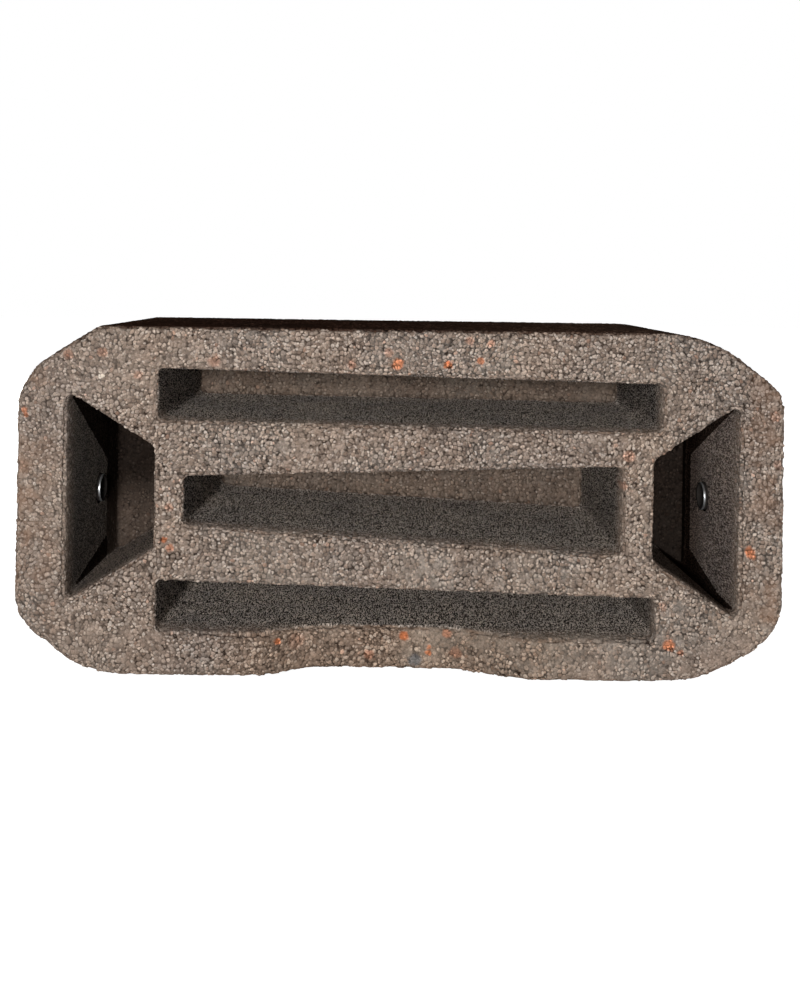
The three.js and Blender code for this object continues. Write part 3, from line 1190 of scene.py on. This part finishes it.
    def corner_shadow_share(self, places: np.ndarray, ends: np.ndarray, sides: np.ndarray,
                   outer_walls: np.ndarray) -> np.ndarray:
        """Marks where painted shadow lies in the corners round the chambers' outer walls.

        Args:
            places: The points.
            ends: Which points lie on the chambers' backs.
            sides: Which points lie on their upper, lower and inner sides.
            outer_walls: Which points lie on their outer walls.

        Returns:
            1 in those corners and 0 elsewhere.
        """
        depth = places[:, 1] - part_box(self.node)[0].y
        share = np.zeros(len(places), np.float32)
        for side, dark in ((Side.LEFT, self.left_corner_shadow), (Side.RIGHT, self.right_corner_shadow)):
            here = places[:, 0] * side.value > 0
            walls = outer_walls & here
            low, high = places[walls, 2].min(), places[walls, 2].max()
            from_wall = np.abs(places[walls, 0]).mean() - places[:, 0] * side.value
            under_roof = high - places[:, 2] < dark.roof_slope * (depth - dark.roof_from)
            over_floor = places[:, 2] - low < dark.floor_slope * (depth - dark.floor_from)
            share[walls & (under_roof | over_floor | (depth > dark.wall_end))] = 1
            share[ends & here & (from_wall < dark.band)] = 1
            below = sides & here & (places[:, 2] < (low + high) / 2)
            share[below & (from_wall < dark.spread * (depth - dark.spread_from))] = 1
        return share

    def inside_outline(self, places: np.ndarray) -> np.ndarray:
        """Measures how far each point lies inside the block's outer outline.

        Args:
            places: The points.

        Returns:
            The distances, in metres.
        """
        outline = convex_outline(read_vectors(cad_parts[self.node].data.vertices, "co")[:, [0, 2]])
        ahead = np.roll(outline, -1, axis=0)
        along = ahead - outline
        keep = np.linalg.norm(along, axis=1) > self.least_side
        outline, along = outline[keep], along[keep]
        normal = np.stack([-along[:, 1], along[:, 0]], 1) / np.linalg.norm(along, axis=1)[:, None]
        offset = (normal * outline).sum(1)
        inset = np.full(len(places), np.inf)
        for direction, distance in zip(normal, offset, strict=True):
            inset = np.minimum(inset, places[:, [0, 2]] @ direction - distance)
        return inset

    def add_relief(self, piece: bpy.types.Object) -> None:
        """Rounds the edges, keeps each point's smooth place, and presses the relief in.

        Args:
            piece: The block.
        """
        solid = {"Geometry": "NodeSocketGeometry"}
        graph, given, result = new_group("Cast relief", TreeKind.GEOMETRY, solid, solid)
        step = self.voxel
        place = graph.node("GeometryNodeInputPosition").outputs[0]
        normal = graph.node("GeometryNodeInputNormal").outputs[0]
        kept = given.outputs[0]
        edges = ((CORNER_SHADOW, CORNER_SHADOW, self.edge_round), (MOUTH, Zone.POCKET_WALL.value, self.mouth_reach),
                 (SILL, SILL, self.mouth_reach))
        for name, source, reach in (*edges, *((zone.value, zone.value, self.zone_blur) for zone in Zone)):
            soft = self.blurred(graph, self.read(graph, source), "FLOAT", self.steps(reach, step))
            kept = self.keep(graph, kept, name, "FLOAT", soft)
        wide = self.blurred(graph, place, "FLOAT_VECTOR", self.steps(self.wear_reach, step))
        sunk = graph.vector("DOT_PRODUCT", graph.vector("SUBTRACT", place, wide), normal)
        kept = self.keep(graph, kept, WORN, "FLOAT", graph.ease(sunk, *self.wear_levels))

        near, mouth, far = (self.blurred(graph, place, "FLOAT_VECTOR", self.steps(reach, step))
                            for reach in (self.edge_round, self.mouth_round, self.sill_round))
        far = graph.mix(graph.ease(self.read(graph, SILL), *self.sill_levels), mouth, far, "VECTOR")
        off_border = graph.math("ABSOLUTE", graph.minus(self.read(graph, MOUTH), 0.5))
        border = graph.ease(off_border, *self.border_levels, 1.0, 0.0)
        smooth = graph.mix(border, near, far, "VECTOR")
        moved = graph.node("GeometryNodeSetPosition", Geometry=kept, Position=smooth).outputs[0]
        rest = graph.node("GeometryNodeInputPosition").outputs[0]
        kept = self.keep(graph, moved, REST, "FLOAT_VECTOR", rest)

        inward = graph.vector("SCALE", graph.node("GeometryNodeInputNormal").outputs[0],
                              scale=graph.times(self.relief_depth(graph), -1.0))
        pressed = graph.node("GeometryNodeSetPosition", Geometry=kept, Offset=inward).outputs[0]
        graph.feed(result.inputs[0], pressed)
        modifier = piece.modifiers.new("relief", "NODES")
        modifier.node_group = graph.tree
        to_mesh(piece)

    def relief_depth(self, graph: Graph) -> Socket:
        """Adds up how deep the surface lies below its crests.

        Args:
            graph: The geometry graph.

        Returns:
            The depth, in metres.
        """
        place = self.read(graph, REST, "FLOAT_VECTOR")
        worn = self.read(graph, WORN)
        ends = graph.math("MAXIMUM", self.read(graph, Zone.SLOT_END.value),
                          self.read(graph, Zone.CHAMBER_END.value))
        beads, smear, skin = self.finish.fields(graph, TreeKind.GEOMETRY, place,
                                                self.read(graph, Zone.MOULD_SIDE.value), ends)
        pocket = self.finish.pocket_share(graph, place, self.read(graph, Zone.POCKET_WALL.value))
        level = graph.mix(smear, beads["Height"], self.smear_level)
        cast = graph.times(graph.minus(1.0, level), self.bead_relief, graph.mix(worn, 1.0, self.worn_gain))
        drawn = graph.times(graph.minus(1.0, skin["Height"]), self.skin_relief)
        depth = graph.mix(pocket, cast, drawn)
        wave = graph.times(self.wave.at(graph, place), self.wave_relief)
        chips = graph.times(self.chips.share(graph, place), worn, self.chip_relief, graph.minus(1.0, pocket))
        return graph.plus(depth, graph.plus(wave, chips))

    @staticmethod
    def steps(reach: float, step: float) -> int:
        """Counts the blur rounds that reach about that far over a mesh of that spacing."""
        return max(1, round((reach / step) ** 2))

    @staticmethod
    def read(graph: Graph, name: str, data_type: str = "FLOAT") -> Socket:
        """Reads a point attribute in the relief's tree."""
        node = graph.node("GeometryNodeInputNamedAttribute", {"data_type": data_type}, Name=name)
        return graph.socket(node.outputs, "Attribute")

    @staticmethod
    def keep(graph: Graph, geometry: Socket, name: str, data_type: str, value: Socket) -> Socket:
        """Stores a value on each point of the geometry so far, and returns the geometry with it."""
        node = graph.node("GeometryNodeStoreNamedAttribute", {"data_type": data_type, "domain": "POINT"},
                          Geometry=geometry, Name=name, Value=value)
        return node.outputs[0]

    @staticmethod
    def blurred(graph: Graph, value: Socket, data_type: str, rounds: int) -> Socket:
        """Averages a value over neighbouring points as many times as the rounds say."""
        node = graph.node("GeometryNodeBlurAttribute", {"data_type": data_type}, Value=value,
                          Iterations=rounds)
        return graph.socket(node.outputs, "Value")

    def add_atlas(self, mesh: bpy.types.Mesh) -> None:
        """Lays the skin out flat: one island for each direction of each pocket and of the outside.

        Args:
            mesh: The block's mesh.
        """
        places = read_attribute(mesh, REST)
        loops, starts, totals = (
            read_whole_numbers(items, name) for items, name in (
                (mesh.loops, "vertex_index"), (mesh.polygons, "loop_start"), (mesh.polygons, "loop_total")))
        face_of = np.repeat(np.arange(len(starts)), totals)
        leading = loops[starts[:, None] + np.arange(3)]
        first, second, third = (places[leading[:, i]] for i in range(3))
        facing = self.main_direction(np.cross(second - first, third - first))
        middle = np.add.reduceat(places[loops], starts) / totals[:, None]
        inside = sum(read_attribute(mesh, zone.value)
                     for zone in (Zone.POCKET_WALL, Zone.SLOT_END, Zone.CHAMBER_END))
        pocket = inside[leading[:, 0]] > 0.5
        island = facing + np.where(pocket, len(Facing) * (1 + self.pocket_number(middle)), 0)
        island[facing == Facing.FRONT.value] = Facing.FRONT.value
        points = np.empty((len(loops), 2))
        for ways, axes in (((Facing.FRONT, Facing.BACK), (0, 2)), ((Facing.LEFT, Facing.RIGHT), (1, 2)),
                           ((Facing.DOWN, Facing.UP), (0, 1))):
            for way in ways:
                chosen = facing[face_of] == way.value
                points[chosen] = places[loops[chosen]][:, axes]
        boxes = {}
        for number in np.unique(island):
            chosen = island[face_of] == number
            scale = 1.0 if number == Facing.FRONT.value else self.hidden_scale
            points[chosen] = (points[chosen] - points[chosen].min(0)) * scale
            boxes[int(number)] = points[chosen].max(0)
        spots, edge = pack_shelves(boxes, self.atlas_margin)
        for number, spot in spots.items():
            points[island[face_of] == number] += spot
        layer = mesh.uv_layers.new(name=ATLAS_NAME)
        layer.uv.foreach_set("vector", (points / edge).astype(np.float32).ravel())
        log.info("atlas: %d islands on %.0f mm", len(boxes), edge / MM)

    @staticmethod
    def main_direction(normals: np.ndarray) -> np.ndarray:
        """Finds each face's main direction.

        Args:
            normals: The faces' normals.

        Returns:
            Numbers of Facing.
        """
        axis = np.abs(normals).argmax(1)
        sign = np.take_along_axis(normals, axis[:, None], 1)[:, 0] > 0
        table = np.array([[Facing.LEFT.value, Facing.RIGHT.value], [Facing.FRONT.value, Facing.BACK.value],
                          [Facing.DOWN.value, Facing.UP.value]])
        return table[axis, sign.astype(int)]

    def pocket_number(self, middle: np.ndarray) -> np.ndarray:
        """Tells the five pockets apart by where a face lies.

        Args:
            middle: The faces' centres.

        Returns:
            0 and 1 for the end chambers, and 2 to 4 for the slots from the bottom up.
        """
        slot = 2 + sum((middle[:, 2] > web).astype(int) for web in self.webs)
        aside = np.abs(middle[:, 0])
        in_middle_row = (aside > self.chamber_from - self.middle_rib_margin) & (slot == 3)
        in_chamber = (aside > self.chamber_from + self.rib_margin) | in_middle_row
        return np.where(in_chamber, (middle[:, 0] > 0).astype(int), slot)


def read_vectors(items: Sequence, name: str) -> np.ndarray:
    """Reads a vector property of many mesh elements.

    Args:
        items: The mesh elements.
        name: The property's name.

    Returns:
        The vectors, one a row.
    """
    values = np.empty(len(items) * 3, np.float32)
    items.foreach_get(name, values)
    return values.reshape(-1, 3).astype(float)


def read_whole_numbers(items: Sequence, name: str) -> np.ndarray:
    """Reads a whole number of many mesh elements.

    Args:
        items: The mesh elements.
        name: The property's name.

    Returns:
        The numbers.
    """
    values = np.empty(len(items), np.int32)
    items.foreach_get(name, values)
    return values


def read_attribute(mesh: bpy.types.Mesh, name: str) -> np.ndarray:
    """Reads a point attribute.

    Args:
        mesh: The mesh.
        name: The attribute's name.

    Returns:
        Its numbers, or its vectors one a row.
    """
    attribute = mesh.attributes[name]
    if attribute.data_type == "FLOAT_VECTOR":
        return read_vectors(attribute.data, "vector")
    values = np.empty(len(attribute.data), np.float32)
    attribute.data.foreach_get("value", values)
    return values


def convex_outline(points: np.ndarray, digits: int = 6) -> np.ndarray:
    """Finds the convex outline round flat points.

    Args:
        points: The points, one a row.
        digits: How many decimals of a metre tell two points apart.

    Returns:
        The outline's corners, anticlockwise.
    """
    ordered = sorted({(round(float(x), digits), round(float(y), digits)) for x, y in points})

    def half(chain: list) -> list:
        """Keeps the corners of one half of the outline.

        Args:
            chain: The points, from left to right or back.

        Returns:
            The corners, without the last.
        """
        kept: list = []
        for x, y in chain:
            while len(kept) > 1:
                (ax, ay), (bx, by) = kept[-2:]
                if (bx - ax) * (y - ay) - (by - ay) * (x - ax) > 0:
                    break
                kept.pop()
            kept.append((x, y))
        return kept[:-1]

    return np.array(half(ordered) + half(ordered[::-1]))


def pack_shelves(boxes: dict, margin: float, growth: float = 1.01) -> tuple:
    """Packs boxes on shelves in a square, trying wider squares until they fit.

    Args:
        boxes: Widths and heights by name.
        margin: The space round each box.
        growth: How much wider each next square is, as a factor.

    Returns:
        The lower left corner of each box by name, and the square's side.
    """
    ordered = sorted(boxes, key=lambda name: -boxes[name][1])
    edge = math.sqrt(sum(float(np.prod(size)) for size in boxes.values()))
    while True:
        spots, right, floor, shelf = {}, margin, margin, 0.0
        for name in ordered:
            width, height = boxes[name]
            if right + width + margin > edge:
                right, floor, shelf = margin, floor + shelf + margin, 0.0
            spots[name] = np.array([right, floor])
            right += width + margin
            shelf = max(shelf, height)
        if floor + shelf + margin <= edge and all(spots[n][0] + boxes[n][0] < edge for n in boxes):
            return spots, edge
        edge *= growth


@dataclass
class TubeSleeve:
    """A short zinc-coated tube through one end wall, with a round lip at each corner of its section."""

    node: str
    side: Side
    finish: ZincCoat = field(default_factory=ZincCoat)
    wall: float = 1.5 * MM
    bore_margin: float = 0.1 * MM
    lip: float = 0.45 * MM
    lip_steps: int = 5
    segments: int = 96

    def build(self) -> bpy.types.Object:
        """Builds and dresses the sleeve.

        Returns:
            The finished object.
        """
        low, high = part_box(self.node)
        middle = (low + high) / 2
        outer = (high.z - low.z) / 2
        mesh = self.tube(Vector((low.x, middle.y, middle.z)), self.profile(outer, high.x - low.x))
        piece = add_piece(self.node.replace("_tube_sleeve", "_zinc_sleeve"), mesh)
        end = low.x if self.side is Side.RIGHT else high.x
        bore = outer - self.wall + self.bore_margin
        mesh.materials.append(self.finish.material(tuple(middle), bore, end, outer - self.lip))
        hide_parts(self.node)
        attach(piece, ROOT_BODY)
        return piece

    def tube(self, start: Vector, profile: list) -> bpy.types.Mesh:
        """Turns the wall's section round the tube's axis.

        Args:
            start: Where the axis starts. It runs along X.
            profile: The section, as pairs of a distance along the axis and a radius.

        Returns:
            The mesh.
        """
        mesh = bpy.data.meshes.new(self.node + "_tube")
        work = bmesh.new()
        rings = []
        for turn in range(self.segments):
            angle = 2 * math.pi * turn / self.segments
            rings.append([
                work.verts.new((start.x + along, start.y + radius * math.cos(angle),
                                start.z + radius * math.sin(angle)))
                for along, radius in profile])
        for ring, ahead in zip(rings, rings[1:] + rings[:1], strict=True):
            for i in range(len(profile)):
                j = (i + 1) % len(profile)
                work.faces.new((ring[i], ahead[i], ahead[j], ring[j]))
        bmesh.ops.recalc_face_normals(work, faces=work.faces)
        work.to_mesh(mesh)
        work.free()
        mesh.shade_smooth()
        return mesh

    def profile(self, outer: float, length: float) -> list:
        """Draws the wall's section with a rounded lip at each corner.

        Args:
            outer: The outer radius.
            length: The tube's length.

        Returns:
            Pairs of a distance along the tube and a radius.
        """
        inner = outer - self.wall
        corners = (((self.lip, inner + self.lip), 180), ((length - self.lip, inner + self.lip), 270),
                   ((length - self.lip, outer - self.lip), 0), ((self.lip, outer - self.lip), 90))
        points = []
        for (along, radius), start in corners:
            for i in range(self.lip_steps + 1):
                angle = math.radians(start + 90 * i / self.lip_steps)
                points.append((along + self.lip * math.cos(angle), radius + self.lip * math.sin(angle)))
        return points


@dataclass(frozen=True)
class Lamp:
    """A softbox: its name, where it hangs, what it points at, its width and height, and its watts."""

    name: str
    place: tuple
    target: tuple
    size: tuple
    power: float

    def hang(self) -> None:
        """Adds the lamp to the scene."""
        data = bpy.data.lights.new(self.name, "AREA")
        data.shape = "RECTANGLE"
        data.size, data.size_y = self.size
        data.energy = self.power
        lamp = bpy.data.objects.new(self.name, data)
        bpy.context.scene.collection.objects.link(lamp)
        lamp.location = self.place
        lamp.rotation_euler = (Vector(self.target) - Vector(self.place)).to_track_quat("-Z", "Y").to_euler()


@dataclass
class Studio:
    """The pale floor, the soft lights and the camera."""

    camera_place: tuple = (-3.83 * MM, -750 * MM, 253.46 * MM)
    camera_roll: float = 0.8
    image_height: float = 1000
    focal_pixels: float = 1055
    axis_pixels: tuple = (397, 281)
    image_middle: tuple = (400, 500)
    sensor: float = 36
    clip_start: float = 0.01
    floor_radius: float = 6.0
    floor_steps: int = 96
    floor_drop: float = 0.2 * MM
    floor_colour: tuple = (0.80, 0.80, 0.80)
    floor_roughness: float = 0.9
    floor_specular: float = 0.1
    seen_glow: float = 0.86
    shadow_reach: float = 0.45
    ambient: float = 0.02
    lamps: tuple = (
        Lamp("key_softbox", (-0.12, -1.80, 0.38), (0.0, -0.05, 0.11), (0.40, 0.26), 31),
        Lamp("rear_softbox", (-0.8, 1.9, 0.50), (0.0, 0.05, 0.11), (1.0, 0.3), 26),
        Lamp("right_softbox", (2.0, 0.35, 0.16), (0.1, 0.0, 0.11), (0.9, 0.3), 16),
        Lamp("left_softbox", (-2.0, 0.2, 0.16), (-0.1, 0.0, 0.11), (0.9, 0.3), 12),
    )

    def build(self) -> None:
        """Builds the whole studio."""
        self.add_camera()
        self.add_floor()
        self.add_world()
        for lamp in self.lamps:
            lamp.hang()
        bpy.context.scene.view_settings.view_transform = "Standard"

    def add_camera(self) -> None:
        """Sets the camera where the photograph was taken from, level and turned a little about its axis."""
        data = bpy.data.cameras.new("camera")
        data.sensor_width = self.sensor
        data.lens = self.sensor * self.focal_pixels / self.image_height
        data.shift_x = (self.image_middle[0] - self.axis_pixels[0]) / self.image_height
        data.shift_y = (self.axis_pixels[1] - self.image_middle[1]) / self.image_height
        data.clip_start = self.clip_start
        camera = bpy.data.objects.new("camera", data)
        bpy.context.scene.collection.objects.link(camera)
        level = Matrix.Rotation(math.radians(90), 4, "X")
        roll = Matrix.Rotation(math.radians(self.camera_roll), 4, "Z")
        camera.matrix_world = Matrix.Translation(self.camera_place) @ level @ roll
        bpy.context.scene.camera = camera

    def add_floor(self) -> None:
        """Lays a pale round floor that keeps the shadow."""
        mesh = bpy.data.meshes.new("floor")
        work = bmesh.new()
        bmesh.ops.create_circle(work, cap_ends=True, segments=self.floor_steps, radius=self.floor_radius)
        work.to_mesh(mesh)
        work.free()
        floor = add_piece("floor", mesh)
        floor.location.z = -self.floor_drop
        material = bpy.data.materials.new("pale_floor")
        material.use_nodes = True
        graph = Graph(material.node_tree)
        shader = material.node_tree.nodes["Principled BSDF"]
        shader.inputs["Base Color"].default_value = opaque(self.floor_colour)
        shader.inputs["Roughness"].default_value = self.floor_roughness
        shader.inputs["Specular IOR Level"].default_value = self.floor_specular
        away = graph.vector("LENGTH", graph.node("ShaderNodeNewGeometry").outputs["Position"])
        level = graph.ease(away, self.shadow_reach, 2 * self.shadow_reach, self.seen_glow, 1.0)
        glow = graph.node("ShaderNodeEmission", Color=(1, 1, 1, 1),
                          Strength=graph.times(self.seen(graph), level))
        both = graph.node("ShaderNodeAddShader")
        graph.feed(both.inputs[0], shader.outputs[0])
        graph.feed(both.inputs[1], glow.outputs[0])
        graph.feed(material.node_tree.nodes["Material Output"].inputs["Surface"], both.outputs[0])
        mesh.materials.append(material)
        floor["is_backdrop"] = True

    def add_world(self) -> None:
        """Makes the backdrop white to the eye and dim as a light."""
        world = bpy.data.worlds.new("studio")
        bpy.context.scene.world = world
        world.use_nodes = True
        graph = Graph(world.node_tree)
        sky = world.node_tree.nodes["Background"]
        graph.feed(sky.inputs["Color"], (1, 1, 1, 1))
        graph.feed(sky.inputs["Strength"], graph.mix(self.seen(graph), self.ambient, 1.0))

    @staticmethod
    def seen(graph: Graph) -> Socket:
        """Marks what is seen directly or in a mirror.

        Args:
            graph: The graph that takes the node.

        Returns:
            1 for a camera, glossy or transmission ray.
        """
        path = graph.node("ShaderNodeLightPath")
        glossy = graph.math("MAXIMUM", path.outputs["Is Camera Ray"], path.outputs["Is Glossy Ray"])
        return graph.math("MAXIMUM", glossy, path.outputs["Is Transmission Ray"])


def corners(bounds: tuple) -> list:
    """Turns a box's lowest and highest corner into two lists of three numbers."""
    return [[float(number) for number in corner] for corner in bounds]


def main() -> None:
    """Builds the part and the studio."""
    logging.basicConfig(level=logging.INFO, format="%(name)s: %(message)s")
    packed = corners(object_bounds())
    Studio().build()
    for part in (CastBlock(), TubeSleeve("left_tube_sleeve", Side.LEFT),
                 TubeSleeve("right_tube_sleeve", Side.RIGHT)):
        piece = part.build()
        log.info("%s: %d faces", piece.name, len(piece.data.polygons))
    {"packed": packed, "visual": corners(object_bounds())}


if __name__ == "__main__":
    main()
